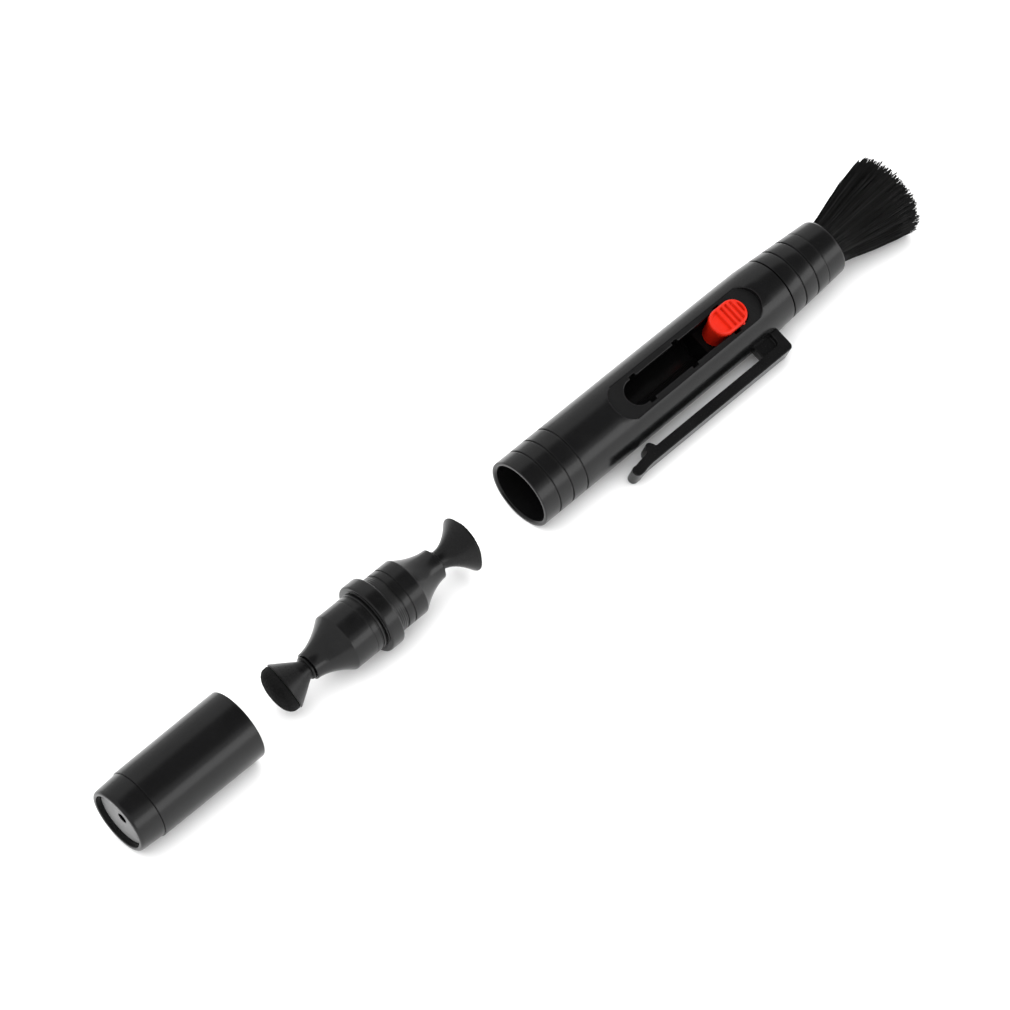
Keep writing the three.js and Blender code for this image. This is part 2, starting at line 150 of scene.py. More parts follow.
TIP_MIDDLE = along(axis_point.x)
FLANGE = Sizes(half_width=1.7, radius=7.5, bore=5.2, rounding=0.55, recess=0.12, recess_radius=6.8)
HOLDER = Sizes(
    start=1.75, radius=6.15, edge=8.9, end=16.3, front_end_radius=2.9, rear_end_radius=3.3, curve=1.75,
    spigot=4.9, spigot_start=0.15, bore=1.8, bore_depth=6, cup_depth=1.6,
)
FRONT_LINES = (2.7, 4.0)
REAR_LINES = (4.0, 5.8)
FRONT_LINE = Sizes(width=0.16, depth=0.09)
REAR_LINE = Sizes(width=0.28, depth=0.22)
THREAD = Sizes(start=2.1, pitch=0.42, depth=0.09, clearance=0.1)
NECK = Sizes(pivot=17.2, radius=2.0, stem=1.85, cup=2.45, cup_taper=0.25, root=14.9, flare_start=0.15)
COLLAR = Sizes(start=0.2, end=0.62, radius=2.45)
FRONT_CONE = Sizes(rim=4.7, radius=5.1, curve=0.95)
REAR_CONE = Sizes(rim=6.0, radius=5.8, curve=1.8)
CONE_LIP = 0.2
# How far each soft tip lies bent at its neck, and the turn about the pen's axis that it bends towards.
FRONT_FLEX = Sizes(bent=15, towards=-8.8)
REAR_FLEX = Sizes(bent=5, towards=-81.2)
NECK_BEND = Sizes(start=16.95, end=18.3)
NECK_BLEND = Sizes(before=0.9, after=1.1)
FRONT_PAD = Sizes(radius=4.9, height=3.0)
REAR_PAD = Sizes(radius=5.0, height=1.0)
PAD_GAP = Sizes(rim=0.05, crown=0.3)
# A pad's firm skirt is a share of its height, and the powers say how full its crown and its side are.
PAD_FORM = Sizes(skirt=0.25, crown=0.9, side=0.92, unevenness=0.028, smooth_middle=0.3)

FERRULE = Sizes(
    start=61.9, end=82.5, radius=4.5, bore=4.2, crimp_at=79, crimp=0.15, crimp_half_width=0.4,
    crimp_slope_end=0.8,
)
BRISTLES = Sizes(
    root=78.5, mouth=85, root_radius=3.8, mouth_radius=4.4, spread=9.2, edge=103.0, tip=104.0,
    most_flare=1.1, floor=7.3, floor_depth=0.25, squashed=0.47, tufts=24,
)
STRANDS = Sizes(count=6200, steps=5, thickness=0.078, taper=0.85, end_taper=0.5, bow=0.25, unevenness=0.1)
# Strands gather towards the middles of small clumps, and each clump has its own length.
CLUMPS = Sizes(
    count=520, scatter=0.012, gather_least=0.1, gather_most=0.5, unevenness=0.13, pointedness=0.18,
)
STRAY_STRANDS = Sizes(share=0.015, reach=0.7)
SHORT_STRANDS = Sizes(share=0.08, shorter_by=0.9)
STRAND_TONES = Sizes(usual=0.1, variation=0.09, pale=0.75, pale_share=0.03)


# ---------------------------------------------------------------- mesh tools
# Radii below ON_AXIS are a single point on the axis, and points nearer than a weld distance are merged.
ON_AXIS = 1e-6
EDGE_WELD = 0.02
BUTTON_WELD = 1e-4


def on_curve(start, control, end, t):
    """The point at a share t of the way along a curve that is pulled towards a control point."""
    return start * (1 - t) ** 2 + control * (2 * t * (1 - t)) + end * t**2


def softened(corners, steps=3):
    """Corners (x, r) or (x, r, rounding) as points, with each rounding as a short curve."""
    points = []
    for i, corner in enumerate(corners):
        here = Vector(corner[:2])
        if len(corner) < 3:
            points.append(here)
            continue
        arms = []
        for other in (corners[i - 1], corners[(i + 1) % len(corners)]):
            arm = Vector(other[:2]) - here
            arms.append(here + arm.normalized() * min(corner[2], 0.45 * arm.length))
        points += [on_curve(arms[0], here, arms[1], step / steps) for step in range(steps + 1)]
    return points


def arc(x, y, radius, start, end, steps):
    """Points of a circle's arc, with its angles in degrees."""
    angles = [math.radians(start + (end - start) * i / steps) for i in range(steps + 1)]
    return [(x + radius * math.cos(a), y + radius * math.sin(a)) for a in angles]


def bend(start, control, end, steps=8):
    """Points of a smooth turn from start to end, pulled towards a control point."""
    ends = [Vector(point) for point in (start, control, end)]
    return [tuple(on_curve(*ends, i / steps)) for i in range(steps + 1)]


def pill(start, end, width, steps=24):
    """Outline of a slot with round ends, from start to end along x."""
    r = width / 2
    return arc(end - r, 0, r, -90, 90, steps) + arc(start + r, 0, r, 90, 270, steps)


def as_object(name, bm):
    bmesh.ops.recalc_face_normals(bm, faces=bm.faces)
    mesh = bpy.data.meshes.new(name)
    bm.to_mesh(mesh)
    bm.free()
    obj = bpy.data.objects.new(name, mesh)
    bpy.context.scene.collection.objects.link(obj)
    return obj


def lathe(name, corners, hollow=True, segments=SEGMENTS, steps=3):
    """A turned piece. A hollow one's profile closes on itself, and a solid one's ends on the axis."""
    bm = bmesh.new()
    rings = []
    for x, r in softened(corners, steps):
        count = segments if r > ON_AXIS else 1
        turns = [2 * math.pi * i / segments for i in range(count)]
        rings.append([bm.verts.new((x, -r * math.sin(a), r * math.cos(a))) for a in turns])
    pairs = list(zip(rings, rings[1:]))
    if hollow:
        pairs.append((rings[-1], rings[0]))
    for first, second in pairs:
        if len(first) == len(second) == 1:
            continue
        for i in range(segments):
            j = (i + 1) % segments
            loop = [
                first[i % len(first)], first[j % len(first)],
                second[j % len(second)], second[i % len(second)],
            ]
            bm.faces.new(list(dict.fromkeys(loop)))
    return as_object(name, bm)


def slab(name, outline, low, high):
    """An outline in x and y, raised from low to high along z."""
    bm = bmesh.new()
    bottom = [bm.verts.new((x, y, low)) for x, y in outline]
    top = [bm.verts.new((x, y, high)) for x, y in outline]
    bm.faces.new(bottom[::-1])
    bm.faces.new(top)
    for i in range(len(outline)):
        j = (i + 1) % len(outline)
        bm.faces.new([bottom[i], bottom[j], top[j], top[i]])
    return as_object(name, bm)


def rectangle(start, end, width):
    return [(start, -width / 2), (end, -width / 2), (end, width / 2), (start, width / 2)]


def apply_modifiers(obj):
    evaluated = obj.evaluated_get(bpy.context.evaluated_depsgraph_get())
    mesh = bpy.data.meshes.new_from_object(evaluated)
    old = obj.data
    obj.modifiers.clear()
    obj.data = mesh
    bpy.data.meshes.remove(old)
    mesh.name = obj.name


def cut(obj, *tools):
    """Cuts the tools' shapes out of a piece and removes the tools."""
    for tool in tools:
        modifier = obj.modifiers.new(tool.name, "BOOLEAN")
        modifier.operation = "DIFFERENCE"
        modifier.solver = "EXACT"
        modifier.object = tool
    apply_modifiers(obj)
    for tool in tools:
        bpy.data.objects.remove(tool)


def round_edges(obj, width, wanted=lambda edge: True, least_angle=25, segments=2):
    """Rounds the edges that turn by more than least_angle degrees and that wanted() accepts."""
    bm = bmesh.new()
    bm.from_mesh(obj.data)
    bmesh.ops.remove_doubles(bm, verts=bm.verts, dist=EDGE_WELD)
    sharp = math.radians(least_angle)
    edges = [
        edge for edge in bm.edges
        if len(edge.link_faces) == 2 and edge.calc_face_angle(0) > sharp and wanted(edge)
    ]
    bmesh.ops.bevel(
        bm, geom=edges, offset=width, offset_type="WIDTH", segments=segments, profile=0.5,
        affect="EDGES", clamp_overlap=False, miter_outer="ARC",
    )
    bmesh.ops.recalc_face_normals(bm, faces=bm.faces)
    bm.to_mesh(obj.data)
    bm.free()


def finished(obj, material, replaces=(), crease=32, flat_sides=False):
    """Puts a drawn piece in the frame, shades it and gives it its finish."""
    obj.data.transform(PEN_TO_FRAME)
    obj.data.polygons.foreach_set("use_smooth", [True] * len(obj.data.polygons))
    obj.data.set_sharp_from_angle(angle=math.radians(crease))
    obj.data.materials.clear()
    obj.data.materials.append(material)
    if flat_sides:
        normals = obj.modifiers.new("even_shading", "WEIGHTED_NORMAL")
        normals.keep_sharp = True
    if replaces:
        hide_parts(*replaces)


def grooves(places, shape, radius_at):
    """Corners of square grooves with softened edges, in a profile walked towards +x."""
    corners = []
    for at in places:
        low, high = at - shape.width / 2, at + shape.width / 2
        corners += [
            (low, radius_at(low), GROOVE_ROUNDING.top),
            (low, radius_at(low) - shape.depth, GROOVE_ROUNDING.floor),
            (high, radius_at(high) - shape.depth, GROOVE_ROUNDING.floor),
            (high, radius_at(high), GROOVE_ROUNDING.top),
        ]
    return corners


# ---------------------------------------------------------------- materials
# The part of a noise's range that is used, and the numbers of the mix node's colour sockets.
NOISE_LOW, NOISE_HIGH = 0.3, 0.7
MIX_COLOUR_A, MIX_COLOUR_B, MIX_COLOUR_OUT = 6, 7, 2
BLACK = (0.0035, 0.0035, 0.0036)


def node(tree, kind, settings=None, **inputs):
    made = tree.nodes.new(kind)
    for name, value in (settings or {}).items():
        setattr(made, name, value)
    for name, value in inputs.items():
        socket = made.inputs[name.replace("_", " ")]
        if isinstance(value, bpy.types.NodeSocket):
            tree.links.new(value, socket)
        else:
            socket.default_value = value
    return made


def noise(tree, place, scale, detail=4, roughness=0.6):
    made = node(tree, "ShaderNodeTexNoise", Vector=place, Scale=scale, Detail=detail, Roughness=roughness)
    return made.outputs["Fac"]


def between(tree, factor, low, high):
    """The middle of a noise's range stretched between two numbers."""
    made = node(
        tree, "ShaderNodeMapRange", Value=factor, From_Min=NOISE_LOW, From_Max=NOISE_HIGH,
        To_Min=low, To_Max=high,
    )
    return made.outputs["Result"]


def tinted(tree, factor, dark, light):
    made = node(tree, "ShaderNodeValToRGB", Fac=factor)
    ramp = made.color_ramp.elements
    ramp[0].position, ramp[0].color = NOISE_LOW, (*dark, 1)
    ramp[1].position, ramp[1].color = NOISE_HIGH, (*light, 1)
    return made.outputs["Color"]


def product(tree, first, second):
    made = node(tree, "ShaderNodeMath", {"operation": "MULTIPLY"})
    tree.links.new(first, made.inputs[0])
    tree.links.new(second, made.inputs[1])
    return made.outputs["Value"]


def scaled(colour, share):
    return tuple(min(1.0, part * share) for part in colour)


def shader(name, **fixed):
    material = bpy.data.materials.new(name)
    material.use_nodes = True
    tree = material.node_tree
    principled = tree.nodes["Principled BSDF"]
    for socket, value in fixed.items():
        principled.inputs[socket.replace("_", " ")].default_value = value
    place = node(tree, "ShaderNodeTexCoord").outputs["Object"]
    return material, tree, principled, place


def bumped(tree, principled, height, strength, distance):
    bump = node(tree, "ShaderNodeBump", Height=height, Strength=strength, Distance=distance * MM)
    tree.links.new(bump.outputs["Normal"], principled.inputs["Normal"])


def moulded_plastic(name, colour, roughness, texture=0.02, mottle=0.18, satin=None, **fixed):
    """Injection-moulded plastic: faint mottling, uneven gloss and a very shallow skin texture.

    Faces marked satin in the mesh have the roughness that satin gives.
    """
    material, tree, principled, place = shader(name, **fixed)
    broad = noise(tree, place, scale=260, detail=3)
    fine = noise(tree, place, scale=2600, detail=5)
    colours = tinted(tree, broad, scaled(colour, 1 - mottle), scaled(colour, 1 + mottle))
    tree.links.new(colours, principled.inputs["Base Color"])
    uneven = between(tree, fine, roughness - 0.035, roughness + 0.035)
    if satin is not None:
        marked = node(tree, "ShaderNodeAttribute", {"attribute_name": "satin"}).outputs["Fac"]
        uneven = node(tree, "ShaderNodeMix", Factor=marked, A=uneven, B=satin).outputs["Result"]
    tree.links.new(uneven, principled.inputs["Roughness"])
    bumped(tree, principled, fine, strength=0.35, distance=texture)
    return material


def rubber(name, colour, roughness):
    """Soft rubber: matt, with a faint grain and a dusting of paler specks."""
    material, tree, principled, place = shader(name, Specular_IOR_Level=0.18)
    grain = noise(tree, place, scale=1900, detail=6, roughness=0.7)
    specks = node(tree, "ShaderNodeTexVoronoi", Vector=place, Scale=1300)
    dust = node(
        tree, "ShaderNodeMapRange", Value=specks.outputs["Distance"], From_Min=0.02, From_Max=0.2,
        To_Min=1, To_Max=0,
    )
    body = tinted(tree, grain, scaled(colour, 0.75), scaled(colour, 1.3))
    pale = node(tree, "ShaderNodeMix", {"data_type": "RGBA"})
    tree.links.new(dust.outputs["Result"], pale.inputs["Factor"])
    tree.links.new(body, pale.inputs[MIX_COLOUR_A])
    pale.inputs[MIX_COLOUR_B].default_value = (*scaled(colour, 2.2), 1)
    tree.links.new(pale.outputs[MIX_COLOUR_OUT], principled.inputs["Base Color"])
    tree.links.new(between(tree, grain, roughness - 0.06, roughness + 0.08), principled.inputs["Roughness"])
    bumped(tree, principled, grain, strength=0.4, distance=0.03)
    return material


def fuzzy_cloth(name, colour, sheen):
    """Suede or felt: a napped surface that scatters light at grazing angles."""
    material, tree, principled, place = shader(
        name, Roughness=0.95, Specular_IOR_Level=0.1, Sheen_Weight=sheen, Sheen_Roughness=0.6,
    )
    nap = noise(tree, place, scale=3200, detail=6, roughness=0.75)
    patches = noise(tree, place, scale=420, detail=4)
    mixed = product(tree, nap, between(tree, patches, 0.8, 1.25))
    colours = tinted(tree, mixed, scaled(colour, 0.5), scaled(colour, 1.9))
    tree.links.new(colours, principled.inputs["Base Color"])
    bumped(tree, principled, nap, strength=0.8, distance=0.12)
    return material


def brush_hair(name, dark, light):
    """Bristle hair, whose strands differ a little in tone."""
    material, tree, principled, place = shader(name, Specular_IOR_Level=0.2)
    tone = node(tree, "ShaderNodeAttribute", {"attribute_name": "tone"}).outputs["Fac"]
    streaks = noise(tree, place, scale=900, detail=3)
    mixed = product(tree, tone, between(tree, streaks, 0.8, 1.2))
    ramp = node(tree, "ShaderNodeValToRGB", Fac=mixed)
    ramp.color_ramp.elements[0].color = (*dark, 1)
    ramp.color_ramp.elements[1].color = (*light, 1)
    tree.links.new(ramp.outputs["Color"], principled.inputs["Base Color"])
    tree.links.new(between(tree, streaks, 0.42, 0.55), principled.inputs["Roughness"])
    return material


def drawn_metal(name, colour, roughness):
    """Thin drawn tube, with fine lines along the axis."""
    material, tree, principled, place = shader(name, Metallic=1.0)
    stretch = node(tree, "ShaderNodeMapping", Vector=place, Scale=(0.05, 1, 1)).outputs["Vector"]
    lines = noise(tree, stretch, scale=5200, detail=4)
    colours = tinted(tree, lines, scaled(colour, 0.85), scaled(colour, 1.1))
    tree.links.new(colours, principled.inputs["Base Color"])
    tree.links.new(between(tree, lines, roughness - 0.08, roughness + 0.08), principled.inputs["Roughness"])
    bumped(tree, principled, lines, strength=0.3, distance=0.02)
    return material


BARREL_BLACK = moulded_plastic(
    "barrel_black_plastic", BLACK, 0.22, texture=0.006, satin=0.42, Specular_IOR_Level=0.25,
)
GLOSS_BLACK = moulded_plastic("gloss_black_plastic", BLACK, 0.22, texture=0.006, Specular_IOR_Level=0.25)
CLIP_BLACK = moulded_plastic("clip_black_plastic", BLACK, 0.25, texture=0.004, Specular_IOR_Level=0.25)
SATIN_BLACK = moulded_plastic(
    "satin_black_plastic", BLACK, 0.21, texture=0.007, mottle=0.3, Specular_IOR_Level=0.25,
)
INNER_BLACK = moulded_plastic(
    "inner_black_plastic", (0.002, 0.002, 0.002), 0.5, texture=0.03, Specular_IOR_Level=0.15,
)
RED = moulded_plastic(
    "red_plastic", (0.43, 0.011, 0.003), 0.35, texture=0.03, mottle=0.06, Specular_IOR_Level=0.15,
)
GREY = moulded_plastic(
    "grey_plastic", (0.17, 0.17, 0.17), 0.55, texture=0.03, mottle=0.08, Specular_IOR_Level=0.3,
)
RUBBER = rubber("soft_black_rubber", (0.003, 0.003, 0.0031), 0.3)
SUEDE = fuzzy_cloth("black_suede", (0.0022, 0.0022, 0.0022), 0.02)
FELT = fuzzy_cloth("carbon_felt", (0.003, 0.003, 0.003), 0.04)
HAIR = brush_hair("black_brush_hair", (0.0006, 0.0006, 0.0006), (0.02, 0.0195, 0.019))
METAL = drawn_metal("drawn_aluminium", (0.5, 0.5, 0.52), 0.35)


# ---------------------------------------------------------------- barrel
def barrel_radius(x):
    """The outside's radius: it narrows slowly along the body and faster towards the brush."""
    if x <= BARREL.taper_from:
        return BARREL.radius - (BARREL.radius - BARREL.taper_radius) * (x / BARREL.taper_from) ** 2
    share = (x - BARREL.taper_from) / (BARREL.taper_to - BARREL.taper_from)
    return BARREL.taper_radius + (BARREL.mouth_radius - BARREL.taper_radius) * share


def on_window_edge(edge, end_margin=1, bore_margin=0.05):
    """Whether an edge is where the window's flat or slot breaks through the barrel's outside."""
    return edge.is_convex and all(
        WINDOW.start - end_margin < v.co.x < WINDOW.end + end_margin
        and v.co.z > SLOT.width / 2
        and math.hypot(v.co.y, v.co.z) > BARREL.bore + bore_margin
        for v in edge.verts
    )


# How nearly a face of the window's flat has to face up and lie on its level.
FACES_UP = 0.9999
ON_LEVEL = 0.02


def satin_flat(obj):
    """Makes the window's flat satin and shades it by its own plane, apart from the rounding at its edges."""
    up = (in_frame(0, 0, 1) - in_frame(0)).normalized()
    satin = obj.data.attributes.new("satin", "FLOAT", "FACE").data
    for polygon in obj.data.polygons:
        height = (polygon.center - in_frame(0)).dot(up) / MM
        if polygon.normal.dot(up) > FACES_UP and abs(height - WINDOW.level) < ON_LEVEL:
            polygon.use_smooth = False
            satin[polygon.index].value = 1


def barrel_shell():
    tapered = range(TAPER_RINGS.start, int(BARREL.taper_from) + 1, TAPER_RINGS.spacing)
    tube = lathe("barrel_shell_fine", [
        (0, BARREL.radius, MOUTH.rounding),
        *grooves(GROOVES.rim, GROOVES, barrel_radius),
        *[(x, barrel_radius(x)) for x in tapered],
        (BARREL.end, barrel_radius(BARREL.end), 0.12),
        (BARREL.end, BARREL.spigot_bore),
        (BARREL.spigot_from, BARREL.spigot_bore),
        (BARREL.spigot_from, BARREL.bore),
        (BARREL.socket_depth + BARREL.socket_step, BARREL.bore),
        (BARREL.socket_depth, BARREL.socket, 0.2),
        (MOUTH.chamfer, BARREL.socket, MOUTH.inner_rounding),
        (0, BARREL.socket + MOUTH.chamfer, MOUTH.outer_rounding),
    ], segments=BODY_SEGMENTS)
    above = BARREL.radius + CLEAR
    flat = slab("flat", pill(WINDOW.start, WINDOW.end, WINDOW.width, steps=40), WINDOW.level, above)
    slot = slab("slot", pill(SLOT.start, SLOT.end, SLOT.width, steps=32), SLOT.bottom, above)
    notches = []
    for at in NOTCHES.at:
        half = NOTCHES.length / 2
        outline = rectangle(at - half, at + half, SLOT.width + 2 * NOTCHES.depth)
        notches.append(slab("notch", outline, SLOT.width / 2, above))
    cut(tube, flat, slot, *notches)
    round_edges(tube, WINDOW_EDGE, on_window_edge, segments=3)
    finished(tube, BARREL_BLACK, ["barrel_shell"], flat_sides=True)
    satin_flat(tube)
    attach(tube, "barrel")


def bore_rail():
    outline = rectangle(BORE_RAIL.start, BORE_RAIL.end, BORE_RAIL.width)
    rail = slab("bore_rail", outline, -BARREL.bore - BORE_RAIL.sunk, -BARREL.bore + BORE_RAIL.height)
    round_edges(rail, BORE_RAIL.edge)
    finished(rail, INNER_BLACK)
    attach(rail, "barrel")


def nose_collar():
    start = BARREL.end + SEAM
    lip_start = NOSE.end - NOSE.lip
    collar = lathe("nose_collar_fine", [
        (start, NOSE.spigot),
        (start, barrel_radius(start), 0.12),
        *grooves(GROOVES.nose, GROOVES, barrel_radius),
        *grooves([HAIRLINE.at], HAIRLINE, barrel_radius),
        *arc(lip_start, barrel_radius(lip_start) - NOSE.lip, NOSE.lip, 90, 0, 8),
        (NOSE.end, NOSE.bore + 0.1),
        (NOSE.end - 0.4, NOSE.bore),
        (NOSE.spigot_from, NOSE.bore),
        (NOSE.spigot_from, NOSE.spigot),
    ], segments=BODY_SEGMENTS)
    finished(collar, GLOSS_BLACK, ["nose_collar"])
    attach(collar, "barrel")


# ---------------------------------------------------------------- clip
def pocket_clip():
    lip_radius = CLIP_LIP.thickness / 2
    lip_x = CLIP_LIP.end + lip_radius
    lip_y = -(CLIP_LIP.reach - lip_radius)
    bump = CLIP_BUMP
    bump_back = (bump.at + bump.half_length, -CLIP.inner)
    bump_front = (bump.at - bump.half_length, -CLIP.inner)
    crest = (bump.at, -bump.reach)
    corner = CLIP.root_corner
    outline = [
        (CLIP.root_end, -CLIP.foot),
        (CLIP.root_start, -CLIP.foot),
        (CLIP.root_start, -CLIP.inner),
        *bend(bump_back, (bump.at + bump.fullness, -bump.reach), crest),
        *bend(crest, (bump.at - bump.fullness, -bump.reach), bump_front)[1:],
        *arc(lip_x, lip_y, lip_radius, 70, 270, 18),
        *bend(
            (CLIP_LIP.bend_end, -CLIP_LIP.reach), (CLIP_LIP.bend_middle, -CLIP.outer),
            (CLIP_LIP.bend_start, -CLIP.outer),
        ),
        *arc(CLIP.root_end - corner, -(CLIP.outer - corner), corner, -90, 0, 8),
    ]
    half = CLIP.width / 2
    clip = slab("pocket_clip_fine", outline, -half, half)
    round_corner = CLIP_RECESS.corner
    recess = [
        (CLIP.root_start - CLEAR, -CLIP.foot + CLEAR),
        (CLIP.root_start - CLEAR, -CLIP.inner),
        *arc(CLIP_RECESS.end - round_corner, -CLIP.inner + round_corner, round_corner, -90, 0, 8),
        (CLIP_RECESS.end, -CLIP.foot + CLEAR),
    ]
    upper = slab("pocket", recess, half - CLIP_RECESS.depth, half + CLEAR)
    lower = slab("pocket", recess, -half - CLEAR, -half + CLIP_RECESS.depth)
    cut(clip, upper, lower)
    round_edges(clip, CLIP.edge, least_angle=40, segments=3)
    finished(clip, CLIP_BLACK, ["clip_root", "pocket_clip"], flat_sides=True)
    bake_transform(clip)


# ---------------------------------------------------------------- slide button and what it moves
def crown_height(x, share):
    """Height of the button's top above its plane, at x from its middle and a share of the way out.

    Ridges stand between the valleys, and the thumb's scoop slopes down to a steep wall before the first.
    """
    cut_in = 0.0
    for i in range(VALLEYS.count):
        at = VALLEYS.centre + (i - (VALLEYS.count - 1) / 2) * VALLEYS.spacing
        cut_in += VALLEYS.depth * math.exp(-(((x - at) / VALLEYS.width) ** 2))
    if SCOOP.start < x < SCOOP.deepest:
        cut_in += SCOOP.depth * (x - SCOOP.start) / (SCOOP.deepest - SCOOP.start)
    elif SCOOP.deepest <= x < SCOOP.end:
        cut_in += SCOOP.depth * (SCOOP.end - x) / (SCOOP.end - SCOOP.deepest)
    inside = min(1.0, max(0.0, (1 - share) / (1 - CROWN_RIM.start)))
    return CROWN_RIM.height * (1 - inside) - cut_in * inside


def button_spine(arc_steps=32, side_steps=90):
    """Places on the pill's middle line, each with the direction in radians that a ring's point lies in."""
    reach = (BUTTON.length - BUTTON.width) / 2
    spine = [(reach, math.radians(a)) for a in np.linspace(-90, 90, arc_steps + 1)]
    spine += [(x, math.pi / 2) for x in np.linspace(reach, -reach, side_steps + 1)[1:-1]]
    spine += [(-reach, math.radians(a)) for a in np.linspace(90, 270, arc_steps + 1)]
    spine += [(x, -math.pi / 2) for x in np.linspace(-reach, reach, side_steps + 1)[1:-1]]
    return spine


def button_sides(edge_steps=6):
    """The stem's and the crown's outside as (distance from the middle line, height), from the bottom up."""
    radius, stem_radius = BUTTON.width / 2, STEM.width / 2
    rounded = [
        (radius - BUTTON.edge * (1 - math.cos(a)), BUTTON.top - BUTTON.edge * (1 - math.sin(a)))
        for a in np.radians(np.linspace(0, 90, edge_steps + 1)[1:])
    ]
    return [
        (stem_radius, STEM.bottom),
        (stem_radius, BUTTON.base - STEM.fillet_start),
        (stem_radius + STEM.fillet, BUTTON.base - STEM.fillet_end),
        (radius - BUTTON.chamfer, BUTTON.base),
        (radius, BUTTON.base + BUTTON.chamfer),
        (radius, BUTTON.top - BUTTON.edge),
        *rounded,
    ]


def slide_button(crown_rings=39):
    """A ribbed pill-shaped crown on a straight stem, made as rings about the pill's middle line."""
    spine = button_spine()
    bm = bmesh.new()
    rings = []
    for distance, height in button_sides():
        rings.append([
            bm.verts.new((BUTTON.at + x + distance * math.cos(a), distance * math.sin(a), height))
            for x, a in spine
        ])
    last = BUTTON.width / 2 - BUTTON.edge
    for share in np.linspace(1, 0, crown_rings + 1)[1:]:
        ring = []
        for x, a in spine:
            crown_x = x + last * share * math.cos(a)
            crown_z = BUTTON.top + crown_height(crown_x, share)
            ring.append(bm.verts.new((BUTTON.at + crown_x, last * share * math.sin(a), crown_z)))
        rings.append(ring)
    count = len(spine)
    for first, second in zip(rings, rings[1:]):
        for i in range(count):
            j = (i + 1) % count
            bm.faces.new([first[i], first[j], second[j], second[i]])
    bm.faces.new(rings[0][::-1])
    bmesh.ops.remove_doubles(bm, verts=bm.verts, dist=BUTTON_WELD)
    bmesh.ops.dissolve_degenerate(bm, edges=bm.edges, dist=BUTTON_WELD)
    button = as_object("slide_button_fine", bm)
    finished(button, RED, ["slide_button"], crease=50)
    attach(button, "brush_unit")


def button_lug():
    """The small round stop on the stem's side."""
    lug = lathe("button_lug", [
        (-LUG.radius, 0),
        *arc(0, 0, LUG.radius, 170, 10, 10),
        (LUG.radius, 0),
    ], hollow=False, segments=24)
    lug.data.transform(Matrix.Translation((BUTTON.at + LUG.ahead, -STEM.width / 2, LUG.level)))
    finished(lug, RED)
    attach(lug, "brush_unit")


def brush_ferrule():
    crimped = FERRULE.radius - FERRULE.crimp
    tube = lathe("brush_ferrule_fine", [
        (FERRULE.start, FERRULE.radius, 0.08),
        (FERRULE.crimp_at - FERRULE.crimp_slope_end, FERRULE.radius, 0.3),
        (FERRULE.crimp_at - FERRULE.crimp_half_width, crimped, 0.3),
        (FERRULE.crimp_at + FERRULE.crimp_half_width, crimped, 0.3),
        (FERRULE.crimp_at + FERRULE.crimp_slope_end, FERRULE.radius, 0.3),
        (FERRULE.end, FERRULE.radius, 0.08),
        (FERRULE.end, FERRULE.bore),
        (FERRULE.start, FERRULE.bore),
    ], segments=128)
    finished(tube, METAL, ["brush_ferrule"])
    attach(tube, "brush_unit")


# ---------------------------------------------------------------- bristles
def clump_points(random):
    """Points that the strands gather towards, spread evenly over a unit disc by the golden angle."""
    number = np.arange(CLUMPS.count)
    turn = math.pi * (3 - math.sqrt(5)) * number
    reach = np.sqrt((number + 0.5) / CLUMPS.count)
    points = reach[:, None] * np.stack([np.cos(turn), np.sin(turn)], axis=1)
    return points + random.normal(0, CLUMPS.scatter, points.shape)


def strand_lines(random):
    """Middle lines of every strand, as strands x (steps + 1) x 3, and the angle of each one's root."""
    count, steps = STRANDS.count, STRANDS.steps
    angle = random.uniform(0, 2 * math.pi, count)
    share = np.sqrt(random.uniform(0, 1, count))
    root = share[:, None] * np.stack([np.cos(angle), np.sin(angle)], axis=1)
    points = clump_points(random)
    apart = np.linalg.norm(root[:, None, :] - points[None, :, :], axis=2)
    nearest = apart.argmin(axis=1)
    distance = apart.min(axis=1) * math.sqrt(CLUMPS.count)
    gather = random.uniform(CLUMPS.gather_least, CLUMPS.gather_most, CLUMPS.count)[nearest]
    drawn_in = (points[nearest] - root) * gather[:, None] * BRISTLES.spread
    stray = (random.uniform(0, 1, count) < STRAY_STRANDS.share)[:, None]
    drawn_in += stray * random.normal(0, STRAY_STRANDS.reach, (count, 2))
    tip_x = BRISTLES.tip - (BRISTLES.tip - BRISTLES.edge) * share**2
    tip_x += random.normal(0, CLUMPS.unevenness, CLUMPS.count)[nearest]
    tip_x -= CLUMPS.pointedness * distance**2
    tip_x += random.normal(0, STRANDS.unevenness, count)
    short = random.uniform(0, 1, count) < SHORT_STRANDS.share
    tip_x -= np.where(short, SHORT_STRANDS.shorter_by, 0)
    bow = random.normal(0, STRANDS.bow, (count, 2))
    lines = np.zeros((count, steps + 1, 3))
    for i in range(steps + 1):
        x = BRISTLES.root + (tip_x - BRISTLES.root) * i / steps
        flare = np.clip((x - BRISTLES.mouth) / (BRISTLES.edge - BRISTLES.mouth), 0, BRISTLES.most_flare)
        inner = np.clip((x - BRISTLES.root) / (BRISTLES.mouth - BRISTLES.root), 0, 1)
        near = BRISTLES.root_radius + (BRISTLES.mouth_radius - BRISTLES.root_radius) * inner
        radius = near + (BRISTLES.spread - near) * flare
        lines[:, i, 0] = x
        lines[:, i, 1:] = root * radius[:, None] + drawn_in * (flare**3)[:, None]
        lines[:, i, 1:] += bow * np.sin(math.pi * np.minimum(flare, 1))[:, None]
    return lines, angle


